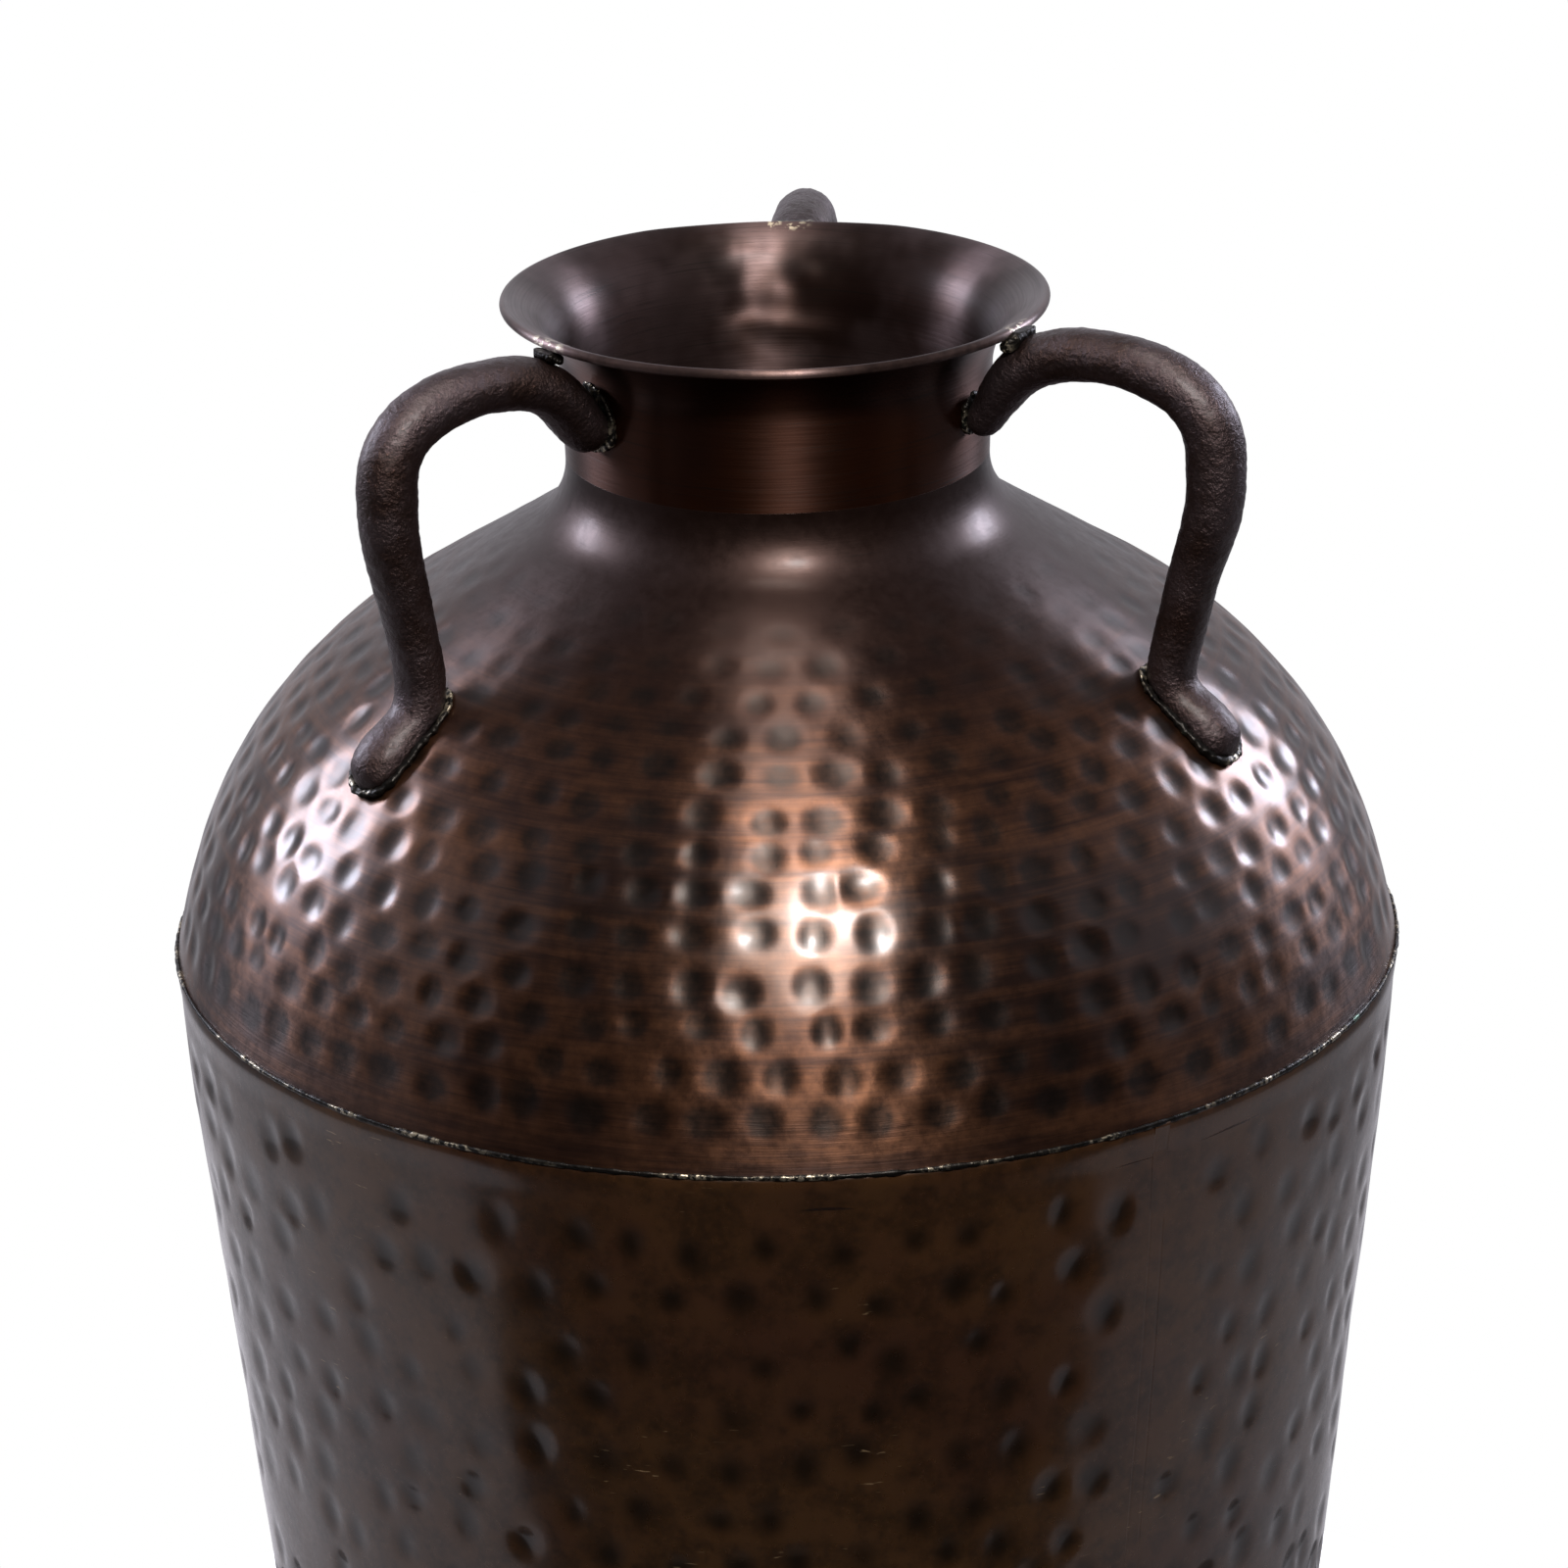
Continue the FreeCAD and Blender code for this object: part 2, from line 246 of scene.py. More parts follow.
def body_outline(spacing):
    """The body's outside from its lower edge up to its rim: a straight run, then a bow."""
    size = settings()[0]
    rim_heading = QUARTER - size.rim_taper
    rim = (size.girth + size.lap + size.sheet, size.seam_height)
    foot = (size.base, size.base_edge)
    centre = step(rim, rim_heading + QUARTER, size.bow)
    across, up = centre[0] - foot[0], centre[1] - foot[1]
    reach = math.hypot(across, up)
    heading = math.atan2(up, across) - math.asin(size.bow / reach)
    length = math.sqrt(reach ** 2 - size.bow ** 2)
    return trace(foot, heading, [(length, 0), (size.bow, rim_heading - heading)], spacing)[0]


# Meshes


def new_object(name, data):
    """A new object in the scene."""
    item = bpy.data.objects.new(name, data)
    bpy.context.scene.collection.objects.link(item)
    return item


def new_piece(name, mesh, node):
    """A finished mesh as a piece that stands for one of the frame's solids."""
    piece = new_object(name, mesh)
    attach(piece, "root")
    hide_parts(node)


def grid_mesh(name, points, closed_columns, marks=None):
    """A mesh from a closed loop of rows of points in mm, with numbers at the points by name."""
    rows, columns = points.shape[:2]
    index = np.arange(rows * columns).reshape(rows, columns)
    upper = np.roll(index, -1, 0)
    if closed_columns:
        quads = [index, np.roll(index, -1, 1), np.roll(upper, -1, 1), upper]
    else:
        quads = [index[:, :-1], index[:, 1:], upper[:, 1:], upper[:, :-1]]
    faces = np.stack(quads, -1).reshape(-1, 4)
    mesh = bpy.data.meshes.new(name)
    mesh.vertices.add(rows * columns)
    mesh.vertices.foreach_set("co", (points * MM).astype(np.float32).ravel())
    mesh.loops.add(faces.size)
    mesh.loops.foreach_set("vertex_index", faces.astype(np.int32).ravel())
    mesh.polygons.add(len(faces))
    mesh.polygons.foreach_set("loop_start", np.arange(0, faces.size, 4, dtype=np.int32))
    mesh.update(calc_edges=True)
    mesh.validate()
    mesh.shade_smooth()
    for label, values in (marks or {}).items():
        attribute = mesh.attributes.new(label, "FLOAT", "POINT")
        attribute.data.foreach_set("value", values.astype(np.float32).ravel())
    return mesh


def close_ends(mesh, rows, columns):
    """Fills the two open ends of a loop of rows with strips of faces."""
    work = bmesh.new()
    work.from_mesh(mesh)
    work.verts.ensure_lookup_table()
    half = rows // 2
    for column, flip in ((0, False), (columns - 1, True)):
        for row in range(half - 1):
            corners = [row, row + 1, rows - 2 - row, rows - 1 - row]
            verts = [work.verts[corner * columns + column] for corner in corners]
            work.faces.new(verts[::-1] if flip else verts)
    work.to_mesh(mesh)
    work.free()


def round_angles(count):
    """Angles at even steps round the vase."""
    return np.arange(count) / count * TURN


def spread(rows, angles, lift):
    """Points of an outline turned to each angle and moved out along its normals, in mm."""
    radius = rows[:, 0, None] + lift * rows[:, 2, None]
    height = rows[:, 1, None] + lift * rows[:, 3, None] + 0 * angles
    return np.stack([radius * np.cos(angles), radius * np.sin(angles), height], -1)


# How far apart the noises of two seeds are taken, in features
SEED_STEP = Vector((17.3, -9.1, 5.7))


def soft_noise(points, size, seed):
    """Smooth noise from -1 to 1 at points in mm, with features of the given size."""
    shift = seed * SEED_STEP
    flat = (points.reshape(-1, 3) / size).tolist()
    values = [noise.noise(Vector(place) + shift) for place in flat]
    return np.array(values).reshape(points.shape[:-1])


def waves(points, layers, crest=1.0):
    """Layers of noise, each of a size, a height and a seed. A crest of 1 keeps them below 0."""
    return sum((soft_noise(points, size, seed) - crest) * height for size, height, seed in layers)


# Hammer marks: how far a mark is felt, its flat floor, the reach of the sag round it and the
# place and width of its raised rim are in radii of the mark. The sag is a share of its depth.
MARK_FELT = 2.2
MARK_FLOOR = 0.1
SAG_SHARE = 0.3
SAG_REACH = 1.3
RIM_PLACE = 1.2
RIM_WIDTH = 0.4

# A mark of this depth in mm, or a deeper one, is darkened and rubbed in full.
FULL_DEPTH = 0.5


def hammer(rows, angles, blows):
    """Depth, hollow and rim of hammer marks over a grid of an outline and angles.

    A blow is a distance along the outline, an angle, a radius, a depth and a stretch.
    """
    lengths = arc_lengths(rows)
    depth = np.zeros((len(rows), len(angles)))
    hollow = np.zeros_like(depth)
    rim = np.zeros_like(depth)
    step_angle = TURN / len(angles)
    for along, angle, size, deep, stretch in blows:
        reach = MARK_FELT * size
        low, high = np.searchsorted(lengths, [along - reach, along + reach])
        here = np.interp(along, lengths, rows[:, 0])
        half = int(reach / here / step_angle) + 1
        middle = int(round(angle / step_angle))
        columns = np.arange(middle - half, middle + half + 1)
        turned = columns * step_angle - angle
        across = turned[None, :] * here / stretch
        up = (lengths[low:high, None] - along) * stretch
        distance = np.hypot(across, up) / size
        bowl = eased(1 - np.clip(distance - MARK_FLOOR, 0, 1))
        sag = SAG_SHARE * np.exp(-(distance / SAG_REACH) ** 2)
        ring = np.exp(-((distance - RIM_PLACE) / RIM_WIDTH) ** 2)
        strength = min(1, deep / FULL_DEPTH)
        place = np.ix_(np.arange(low, high), columns % len(angles))
        depth[place] = np.maximum(depth[place], deep * (bowl + sag) / (1 + SAG_SHARE))
        hollow[place] = np.maximum(hollow[place], bowl * strength)
        rim[place] = np.maximum(rim[place], ring * strength)
    return depth, hollow, rim


def shoulder_blows(rows):
    """Rings of hammer marks from above the girth seam up to the fillet, fading on the way.

    The marks of the first ring are larger. Each ring wanders in waves, and each mark strays.
    """
    size, marks = settings()
    seed = 31
    margin_share = 1.2
    slip_share = 0.09
    ring_wave = 1.3
    ring_waves = 3
    stray = 0.8
    fade_length = 105
    last_share = 0.18
    depth_shares = (0.6, 1.15)
    mark_shares = (0.86, 1.1)
    stretch_shares = (0.9, 1.12)
    pitch_shares = (0.96, 1.04)
    first_mark_share = 1.12
    first_rings = 20
    draw = random.Random(seed)
    lengths = arc_lengths(rows)
    fillet_run = size.fillet * (QUARTER - size.cone_slope)
    top = lengths[-1] - fillet_run - margin_share * marks.shoulder_mark
    blows = []
    along = marks.first_ring
    while along < top:
        radius = np.interp(along, lengths, rows[:, 0])
        count = round(TURN * radius / marks.shoulder_pitch)
        phase = draw.random()
        drift = draw.uniform(0, TURN)
        fade = min(1, (top - along) / fade_length + last_share)
        ring_mark = marks.shoulder_mark * (first_mark_share if along < first_rings else 1)
        for number in range(count):
            angle = (number + phase + draw.gauss(0, slip_share)) / count * TURN
            wander = ring_wave * math.sin(ring_waves * angle + drift) + draw.gauss(0, stray)
            deep = marks.shoulder_depth * draw.uniform(*depth_shares) * fade
            mark = ring_mark * draw.uniform(*mark_shares)
            stretch = draw.uniform(*stretch_shares)
            blows.append((along + wander, angle % TURN, mark, deep, stretch))
        along = along + marks.ring_pitch * draw.uniform(*pitch_shares)
    return blows


def body_blows(rows):
    """Staggered rows of looser hammer marks from the plain band down to the foot.

    Some marks are missing, and none touches the side seam.
    """
    size, marks = settings()
    seed = 47
    margin_share = 1.5
    stagger_share = 0.5
    slip_share = 0.14
    missing_share = 0.07
    stray = 2.3
    mark_shares = (0.75, 1.12)
    depth_shares = (0.45, 1.15)
    stretch_shares = (0.82, 1.0)
    pitch_shares = (0.94, 1.06)
    draw = random.Random(seed)
    lengths = arc_lengths(rows)
    blows = []
    along = lengths[-1] - marks.body_band
    row_number = 0
    while along > margin_share * marks.body_mark:
        radius = np.interp(along, lengths, rows[:, 0])
        count = round(TURN * radius / marks.body_pitch)
        for number in range(count):
            shift = stagger_share * (row_number % 2) + draw.gauss(0, slip_share)
            angle = (number + shift) / count * TURN % TURN
            off_seam = abs((angle - size.side_seam + math.pi) % TURN - math.pi) * radius
            missing = draw.random() < missing_share
            mark = marks.body_mark * draw.uniform(*mark_shares)
            deep = marks.body_depth * draw.uniform(*depth_shares)
            wander = draw.gauss(0, stray)
            stretch = draw.uniform(*stretch_shares)
            if not missing and off_seam > size.side_seam_width + mark:
                blows.append((along + wander, angle, mark, deep, stretch))
        along = along - marks.body_ring_pitch * draw.uniform(*pitch_shares)
        row_number = row_number + 1
    return blows


# Pieces of sheet


def make_shoulder():
    """The spun shoulder, beaten from outside, with its smooth inside and its lap.

    Beating leaves slow waves in the sheet, which die out at the neck and at the girth.
    """
    size, marks = settings()
    slow_waves = ((34, 0.45, 1), (15, 0.12, 2))
    smooth_top = 25
    smooth_foot = 8
    inside_share = 0.9
    outside = crisp(dome_outline(marks.spacing)[0])
    angles = round_angles(round(TURN * size.girth / marks.spacing))
    depth, hollow, rim = hammer(outside, angles, shoulder_blows(outside))
    settled = short_of_end(outside, smooth_top)
    settled = settled * np.clip(arc_lengths(outside) / smooth_foot, 0, 1)[:, None]
    lift = -depth + waves(spread(outside, angles, 0), slow_waves) * settled
    outer = spread(outside, angles, lift)
    inner = spread(outside, angles, np.minimum(lift * inside_share, 0) - size.sheet)
    rim_heading = QUARTER - size.rim_taper
    lap_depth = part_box("shoulder_dome")[0].z / MM - size.seam_height
    lap_radius = size.girth + lap_depth * math.tan(size.rim_taper)
    lap = np.array([(lap_radius, size.seam_height + lap_depth, math.sin(rim_heading), 0)])
    lap_outer = spread(lap, angles, 0)
    lap_inner = spread(lap, angles, -size.sheet)
    points = np.concatenate([lap_outer, outer, inner[::-1], lap_inner])
    edge = np.zeros((1, len(angles)))
    inside = np.zeros_like(hollow)
    attributes = {
        "hollow": np.concatenate([edge, hollow, inside, edge]),
        "rim": np.concatenate([edge, rim, inside, edge]),
    }
    mesh = grid_mesh("shoulder_dome_beaten", points, True, attributes)
    mesh.materials.append(beaten_shoulder_copper())
    new_piece("shoulder_dome_beaten", mesh, "shoulder_dome")


def body_waves(rows, angles):
    """The slow waves that beating leaves in the body's wall, dying out at its rim, in mm."""
    slow_waves = ((55, 0.55, 3), (21, 0.2, 4))
    smooth_rim = 10
    return waves(spread(rows, angles, 0), slow_waves) * short_of_end(rows, smooth_rim)


def make_body():
    """The rolled body, beaten from outside, open along the strip of its side seam.

    Its rim is drawn in a little under the bead of the girth seam.
    """
    size, marks = settings()
    spacing_share = 1.15
    drawn_length = 4
    drawn_depth = 0.8
    inside_share = 0.85
    spacing = spacing_share * marks.spacing
    outside = body_outline(spacing)
    angles = round_angles(round(TURN * size.girth / spacing))
    depth, hollow, _ = hammer(outside, angles, body_blows(outside))
    drawn = drawn_depth * (1 - short_of_end(outside, drawn_length)) ** 2
    lift = -depth + body_waves(outside, angles) - drawn
    half_seam = np.arcsin(size.side_seam_width / 2 / outside[:, 0])[:, None]
    share = crisp(angles / angles[-1])[None, :]
    placed = size.side_seam + half_seam + share * (TURN - 2 * half_seam)
    lift_at = np.empty(placed.shape)
    hollow_at = np.empty(placed.shape)
    for row in range(len(outside)):
        where = placed[row] % TURN
        lift_at[row] = np.interp(where, angles, lift[row], period=TURN)
        hollow_at[row] = np.interp(where, angles, hollow[row], period=TURN)
    outer = spread(outside, placed, lift_at)
    inner = spread(outside, placed, lift_at * inside_share - size.sheet)
    points = np.concatenate([outer, inner[::-1]])
    attributes = {"hollow": np.concatenate([hollow_at, np.zeros_like(hollow_at)])}
    mesh = grid_mesh("body_shell_beaten", points, False, attributes)
    close_ends(mesh, len(points), points.shape[1])
    mesh.materials.append(beaten_body_copper())
    new_piece("body_shell_beaten", mesh, "body_shell")


def make_side_seam():
    """The strip of braze up the body: a shallow groove along each of its wavering edges."""
    size, marks = settings()
    columns = 15
    edge_share = 0.042
    waver_shares = ((14, 0.05, 5),)
    groove_place = 0.43
    groove_width = 0.05
    groove_depth = 0.05
    file_marks = ((6, 0.02, 6),)
    outside = body_outline(marks.spacing)
    across = crisp(np.linspace(-0.5, 0.5, columns), edge_share)
    whole = np.arcsin(size.side_seam_width / outside[:, 0])[:, None]
    angles = size.side_seam + whole * across[None, :]
    plain = spread(outside, angles, 0)
    waver = waves(plain, waver_shares, 0)
    groove = np.exp(-((np.abs(across[None, :] + waver) - groove_place) / groove_width) ** 2)
    lift = body_waves(outside, angles) - groove_depth * groove + waves(plain, file_marks)
    outer = spread(outside, angles, lift)
    inner = spread(outside, angles, np.full_like(lift, -size.sheet))
    points = np.concatenate([outer, inner[::-1]])
    mesh = grid_mesh("side_seam_filed", points, False)
    close_ends(mesh, len(points), points.shape[1])
    mesh.materials.append(beaten_body_copper())
    new_piece("side_seam_filed", mesh, "side_seam_braze")


# The neck's far side. Of each dent under the back handle: how far round the neck it lies, how
# far under the lip, its width, its height and its depth, in mm.
BACK_AZIMUTH = math.radians(88.0)
NECK_DENTS = ((-3, 27, 14, 4, 1.6), (3, 21, 5, 7, 0.35), (9, 25, 8, 3, 0.5))

# Where the handles are brazed to the lip, and how far round it and down it the braze has run
WELD_AZIMUTHS = tuple(math.radians(azimuth) for azimuth in (216.0, 330.0, 87.0))
WELD_WIDTH = 8
WELD_HEIGHT = 4


def pressed_in(loop, lip, angles):
    """Radii of the neck's wall, with the pressed far lip, the bumps under it and the dents."""
    size = settings()[0]
    pressed_from = 0.86
    pressed_height = 16
    pressed_power = 1.5
    bumps_from = 0.9
    bumps_drop = 12
    bumps_reach = 9
    bumps = ((9, 0.6, 7), (20, 0.96, 8))
    out_of_round = ((40, 0.12, 9),)
    most_out = 0.3
    radius = loop[:, 0, None]
    height = loop[:, 1, None]
    facing = np.cos(angles - QUARTER)
    pressed = eased(np.clip((facing - pressed_from) / (1 - pressed_from), 0, 1))
    push = np.clip((height - lip[1] + pressed_height) / pressed_height, 0, 1) ** pressed_power
    plain = spread(loop, angles, 0)
    under_lip = np.exp(-((height - lip[1] + bumps_drop) / bumps_reach) ** 2)
    under_lip = under_lip * np.clip((facing - bumps_from) / (1 - bumps_from), 0, 1)
    moved = radius - size.lip_flat * push * pressed
    moved = moved + waves(plain, bumps, 0) * under_lip + waves(plain, out_of_round, 0)
    around = (angles - BACK_AZIMUTH)[None, :] * size.neck
    for side, drop, width, tall, deep in NECK_DENTS:
        place = ((around - side) / width) ** 2 + ((height - lip[1] + drop) / tall) ** 2
        moved = moved - deep * np.exp(-place)
    return np.minimum(moved, radius + most_out)


def make_collar():
    """The spun neck and flare, rolled at the lip, with a pressed place at the back."""
    size, marks = settings()
    columns = 640
    wall_spacing = 0.9
    roll_spacing = 0.16
    rolled_from = 0.2
    rolled_width = 0.6
    weld_full = 1.5
    top = dome_outline(marks.spacing)[1]
    neck_heading = QUARTER - size.neck_taper
    curl = size.lip_wire / 2 + size.lap
    flare = [(size.neck_length, 0), (size.flare, size.lip_tilt - neck_heading)]
    outside, lip, heading = trace(top, neck_heading, flare, wall_spacing)
    roll = trace(lip, heading, [(curl, -size.lip_curl)], roll_spacing)[0]
    angles = round_angles(columns)
    outline = np.concatenate([crisp(outside)[:-2], roll])
    inner = outline[::-1].copy()
    inner[:, :2] = inner[:, :2] - size.sheet * inner[:, 2:]
    loop = np.concatenate([outline, inner])
    radius = pressed_in(loop, lip, angles)
    height = np.repeat(loop[:, 1, None], len(angles), 1)
    points = np.stack([radius * np.cos(angles), radius * np.sin(angles), height], -1)
    blank = np.zeros(points.shape[:2])
    inside = np.arange(len(loop)) >= len(outline)
    # The share of the rolled lip that takes the paler lip tone, partly rubbing and partly a painted
    # highlight.
    rolled = np.clip((loop[:, 0] - lip[0] - rolled_from) / rolled_width, 0, 1)
    from_lip = np.hypot(loop[:, 0] - lip[0], loop[:, 1] - lip[1])
    near_lip = np.clip(weld_full - from_lip / WELD_HEIGHT, 0, 1)[:, None]
    gaps = [(angles - azimuth) * lip[0] / WELD_WIDTH for azimuth in WELD_AZIMUTHS]
    weld = sum(np.exp(-gap ** 2)[None, :] * near_lip for gap in gaps)
    attributes = {
        "inside": blank + inside[:, None], "rolled": blank + rolled[:, None], "weld": weld,
    }
    mesh = grid_mesh("neck_collar_spun", points, True, attributes)
    mesh.materials.append(spun_neck_copper())
    new_piece("neck_collar_spun", mesh, "neck_collar")


# Castings and braze


def remeshed(name, node, voxel, rounds):
    """A new mesh of even small faces over a solid of the frame, softened at its edges."""
    source = new_object(name + "_source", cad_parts[node].data.copy())
    grain = source.modifiers.new("faces", "REMESH")
    grain.mode = "VOXEL"
    grain.voxel_size = voxel * MM
    soft = source.modifiers.new("soft", "SMOOTH")
    soft.iterations = rounds
    bpy.context.view_layer.update()
    finished = source.evaluated_get(bpy.context.evaluated_depsgraph_get())
    mesh = bpy.data.meshes.new_from_object(finished)
    bpy.data.objects.remove(source)
    mesh.name = name
    mesh.materials.clear()
    mesh.shade_smooth()
    return mesh


def point_values(mesh, name):
    """One of a mesh's values of three numbers at each of its points."""
    values = np.empty(len(mesh.vertices) * 3, np.float32)
    mesh.vertices.foreach_get(name, values)
    return values.reshape(-1, 3)


def roughen(mesh, layers, low, high, swell=0.0):
    """Moves the points of a mesh out by noise and a swelling, and keeps them within two corners."""
    crest = 0.2
    places = point_values(mesh, "co") / MM
    moved = swell + waves(places, layers, crest)
    places = places + point_values(mesh, "normal") * moved[:, None]
    places = np.clip(places, np.array(low) / MM, np.array(high) / MM)
    mesh.vertices.foreach_set("co", (places * MM).astype(np.float32).ravel())
    mesh.update()


def make_handle(side, seed):
    """A cast handle with the pits and waves of its sand mould."""
    voxel = 0.8
    rounds = 4
    sand = ((18, 0.3, seed), (7, 0.14, seed + 1), (2.6, 0.16, seed + 2), (1.3, 0.12, seed + 3))
    mesh = remeshed(side + "_handle_cast", side + "_handle", voxel, rounds)
    roughen(mesh, sand, *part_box(side + "_handle"))
    mesh.materials.append(cast_handle_bronze())
    new_piece(side + "_handle_cast", mesh, side + "_handle")


def make_bead(name, node, seed):
    """A lumpy bead of braze over one of the frame's beads, fatter where it reaches the lip."""
    voxel = 0.4
    rounds = 3
    lumps = ((4, 0.5, seed), (1.6, 0.5, seed + 1))
    swell = 0.5
    lip_swell = 0.9
    lip_reach = 8
    mesh = remeshed(name, node, voxel, rounds)
    at_lip = point_values(mesh, "co")[:, 2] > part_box("lip_wire")[0].z - lip_reach * MM
    roughen(mesh, lumps, *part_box(node), swell + lip_swell * at_lip)
    mesh.materials.append(braze_metal())
    new_piece(name, mesh, node)


def make_girth_seam():
    """The uneven bead of braze in the step between the shoulder and the body's rim."""
    size = settings()[0]
    columns = 1800
    corners = 12
    usual_fat = 0.78
    lumps = ((3, 0.35, 11), (11, 0.3, 12))
    fat_range = (0.25, 1.0)
    out = 0.4
    up = 0.1
    sunk = 0.1
    width = 0.8
    height = 0.95
    angles = round_angles(columns)
    around = round_angles(corners)[:, None]
    ring = np.stack([size.girth * np.cos(angles), size.girth * np.sin(angles), 0 * angles], -1)
    fat = np.clip(usual_fat + waves(ring, lumps, 0), *fat_range)[None, :]
    radius = size.girth + out + (fat - sunk) * np.cos(around) * width
    level = size.seam_height + up + fat * np.sin(around) * height
    points = np.stack([radius * np.cos(angles), radius * np.sin(angles), level], -1)
    mesh = grid_mesh("girth_seam_bead", points[::-1], True)
    mesh.materials.append(braze_metal())
    new_piece("girth_seam_bead", mesh, "girth_seam_braze")


# Materials. A range holds the two ends that a value comes from, and then the two that it goes
# to where they aren't 0 and 1.
TIMES = {"operation": "MULTIPLY"}
PLUS = {"operation": "ADD"}
COLOURS = {"data_type": "RGBA"}

# The sockets of a mix of colours, and the sockets that each noise here sets
SHARE, FIRST, SECOND = 0, 6, 7
RESULT = 2
NOISE = ("Vector", "Scale", "Detail", "Roughness")


def add(tree, kind, inputs=(), output=0, **options):
    """Adds a node with its settings, values and links, and gives one of its outputs, or all."""
    item = tree.nodes.new("ShaderNode" + kind)
    for name, value in options.items():
        setattr(item, name, value)
    for socket, value in inputs.items() if isinstance(inputs, dict) else enumerate(inputs):
        if isinstance(value, bpy.types.NodeSocket):
            tree.links.new(value, item.inputs[socket])
        else:
            item.inputs[socket].default_value = value
    return item.outputs if output is None else item.outputs[output]


def shown(tree, *values):
    """How much of something shows: the product of some values, each eased over its range."""
    result = None
    for value, limits in values:
        part = add(tree, "MapRange", (value, *limits), interpolation_type="SMOOTHSTEP")
        result = part if result is None else add(tree, "Math", (result, part), **TIMES)
    return result


def turning_place(tree, place, stretch, slant):
    """Coordinates that vary fast across the turning lines and slowly along them."""
    parts = add(tree, "SeparateXYZ", [place], None)
    squares = [add(tree, "Math", (part, part), **TIMES) for part in parts[:2]]
    radius = add(tree, "Math", (add(tree, "Math", squares, **PLUS), 0.5), operation="POWER")
    slanted = add(tree, "Math", (parts[2], slant), **TIMES)
    across = add(tree, "Math", (radius, slanted), **PLUS)
    slow = [add(tree, "Math", (part, 1 / stretch), **TIMES) for part in parts[:2]]
    return add(tree, "CombineXYZ", (across, *slow))


def start_material(name):
    """A new material, its empty node tree and the coordinates of its object."""
    material = bpy.data.materials.new(name)
    material.use_nodes = True
    tree = material.node_tree
    tree.nodes.clear()
    return material, tree, add(tree, "TexCoord", output="Object")


def finish_material(tree, inputs, bump_height, bump_distance_mm):
    """Ends a material in a surface shader with a bump of real depth."""
    bump = {"Height": bump_height, "Distance": bump_distance_mm * MM, "Strength": 1.0}
    inputs["Normal"] = add(tree, "Bump", bump)
    add(tree, "OutputMaterial", {"Surface": add(tree, "BsdfPrincipled", inputs)}, None)


@cache
def beaten_shoulder_copper():
    """Beaten copper sheet with a rubbed bronze patina under clear lacquer.

    The patina stays dark in the marks and is rubbed to warm copper on the ridges round
    them. Turning lines stretch the highlights up and down the shoulder, and they are drawn
    0.9 mm apart, coarser than real ones, so that they show. Lacquer whitens the highlights
    of the lower rings.
    """
    finish = bpy.context.scene.urn_finish
    seam = bpy.context.scene.urn_vessel.seam_height
    blotch, streak, pore, line = 60 * MM, 5 * MM, 3.5 * MM, 0.9 * MM
    streak_stretch, line_stretch = 14, 30
    beaten_range = (seam + 125 * MM, seam + 75 * MM)
    turned_range = (seam + 135 * MM, seam + 105 * MM, 0.1, 0.85)
    lacquer_range = (seam + 95 * MM, seam + 45 * MM, 0.1, 0.6)
    grooved_range = (seam + 19 * MM, seam + 12 * MM, 0.3, 1.6)
    pore_share = 0.5
    worn_shares = (0.55, 0.45, 0.05)
    rubbed_range = (0.40, 0.68, 0.04, 0.75)
    speckle_range = (0.2, 0.7, 0.6, 1.1)
    hollow_range, dull_range = (0.05, 0.7), (0.2, 0.8, 0.75, 0.5)
    scored_range = (0.60, 0.75, 0.0, 0.35)
    rough_range = (0.25, 0.75, 0.33, 0.43)
    material, tree, place = start_material("beaten_shoulder_copper")
    height = add(tree, "SeparateXYZ", [place], 2)
    hollow, rim = [
        add(tree, "Attribute", output="Fac", attribute_name=name) for name in ("hollow", "rim")]
    drift, streaks, fine, lines = [
        add(tree, "TexNoise", dict(zip(NOISE, values))) for values in (
            (place, 1 / blotch, 3.0, 0.6),
            (turning_place(tree, place, streak_stretch, -1), 1 / streak, 4.0, 0.65),
            (place, 1 / pore, 4.0, 0.65),
            (turning_place(tree, place, line_stretch, -1), 1 / line, 3.0, 0.6))]
    first, second, third = [
        add(tree, "Math", pair, **TIMES) for pair in zip((drift, streaks, rim), worn_shares)]
    worn = add(tree, "Math", (add(tree, "Math", (first, second), **PLUS), third), **PLUS)
    rubbed = shown(tree, (worn, rubbed_range), (height, beaten_range), (fine, speckle_range))
    dark = shown(tree, (hollow, hollow_range), (fine, dull_range))
    scored = shown(tree, (lines, scored_range))
    colour = finish.patina
    for share, over in ((rubbed, finish.copper), (dark, finish.hollow), (scored, finish.hollow)):
        colour = add(tree, "Mix", {SHARE: share, FIRST: colour, SECOND: over}, RESULT, **COLOURS)
    inputs = {
        "Base Color": colour, "Metallic": 0.8, "Roughness": shown(tree, (fine, rough_range)),
        "Anisotropic": shown(tree, (height, turned_range)), "Anisotropic Rotation": 0.25,
        "Tangent": add(tree, "Tangent", direction_type="RADIAL", axis="Z"),
        "Coat Weight": shown(tree, (height, lacquer_range)), "Coat Roughness": 0.2,
    }
    band = shown(tree, (height, grooved_range))
    grooves = [add(tree, "Math", pair, **TIMES) for pair in ((lines, band), (fine, pore_share))]
    finish_material(tree, inputs, add(tree, "Math", grooves, **PLUS), 0.07)
    return material


